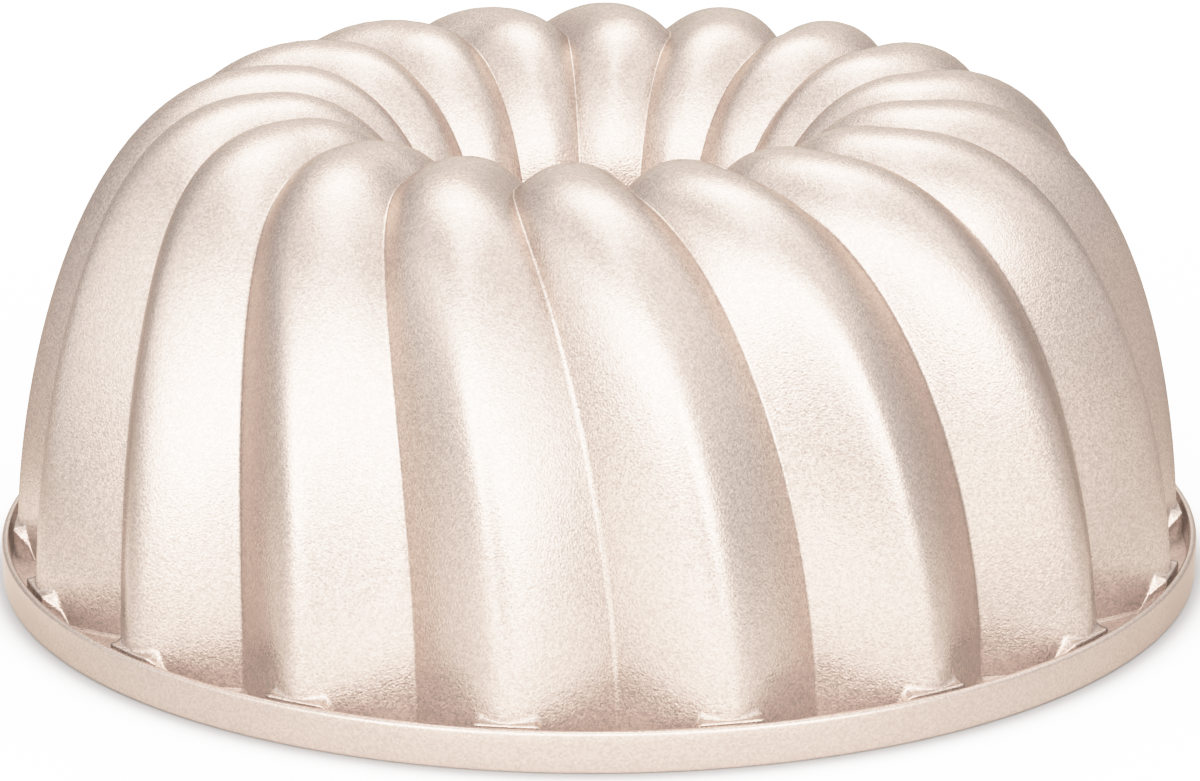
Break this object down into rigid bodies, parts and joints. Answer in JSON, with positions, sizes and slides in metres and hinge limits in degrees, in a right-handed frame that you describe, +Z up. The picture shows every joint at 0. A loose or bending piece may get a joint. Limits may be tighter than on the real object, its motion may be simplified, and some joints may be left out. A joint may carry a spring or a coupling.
{
  "type": "fluted tube pan",
  "caption": "Cast fluted tube pan standing mouth down: swirled rounded flutes run from a lipped rim over the crown into an open centre tube.",
  "frame": {"origin": "on the table at the centre of the rim's flat face, with the pan standing mouth down as in the picture", "axes": "+Z up along the pan's axis, from the mouth to the crown; -Y towards the viewer of the picture"},
  "size_m": [0.25, 0.25, 0.1011],
  "materials": {
    "champagne_coat": "sprayed champagne metallic coat with a fine sparkle and orange peel on cast aluminium"
  },
  "bodies": {
    "root": {"rim_flange": "champagne_coat", "fluted_wall": "champagne_coat", "crown_ring": "champagne_coat", "centre_tube": "champagne_coat"}
  },
  "joints": []
}
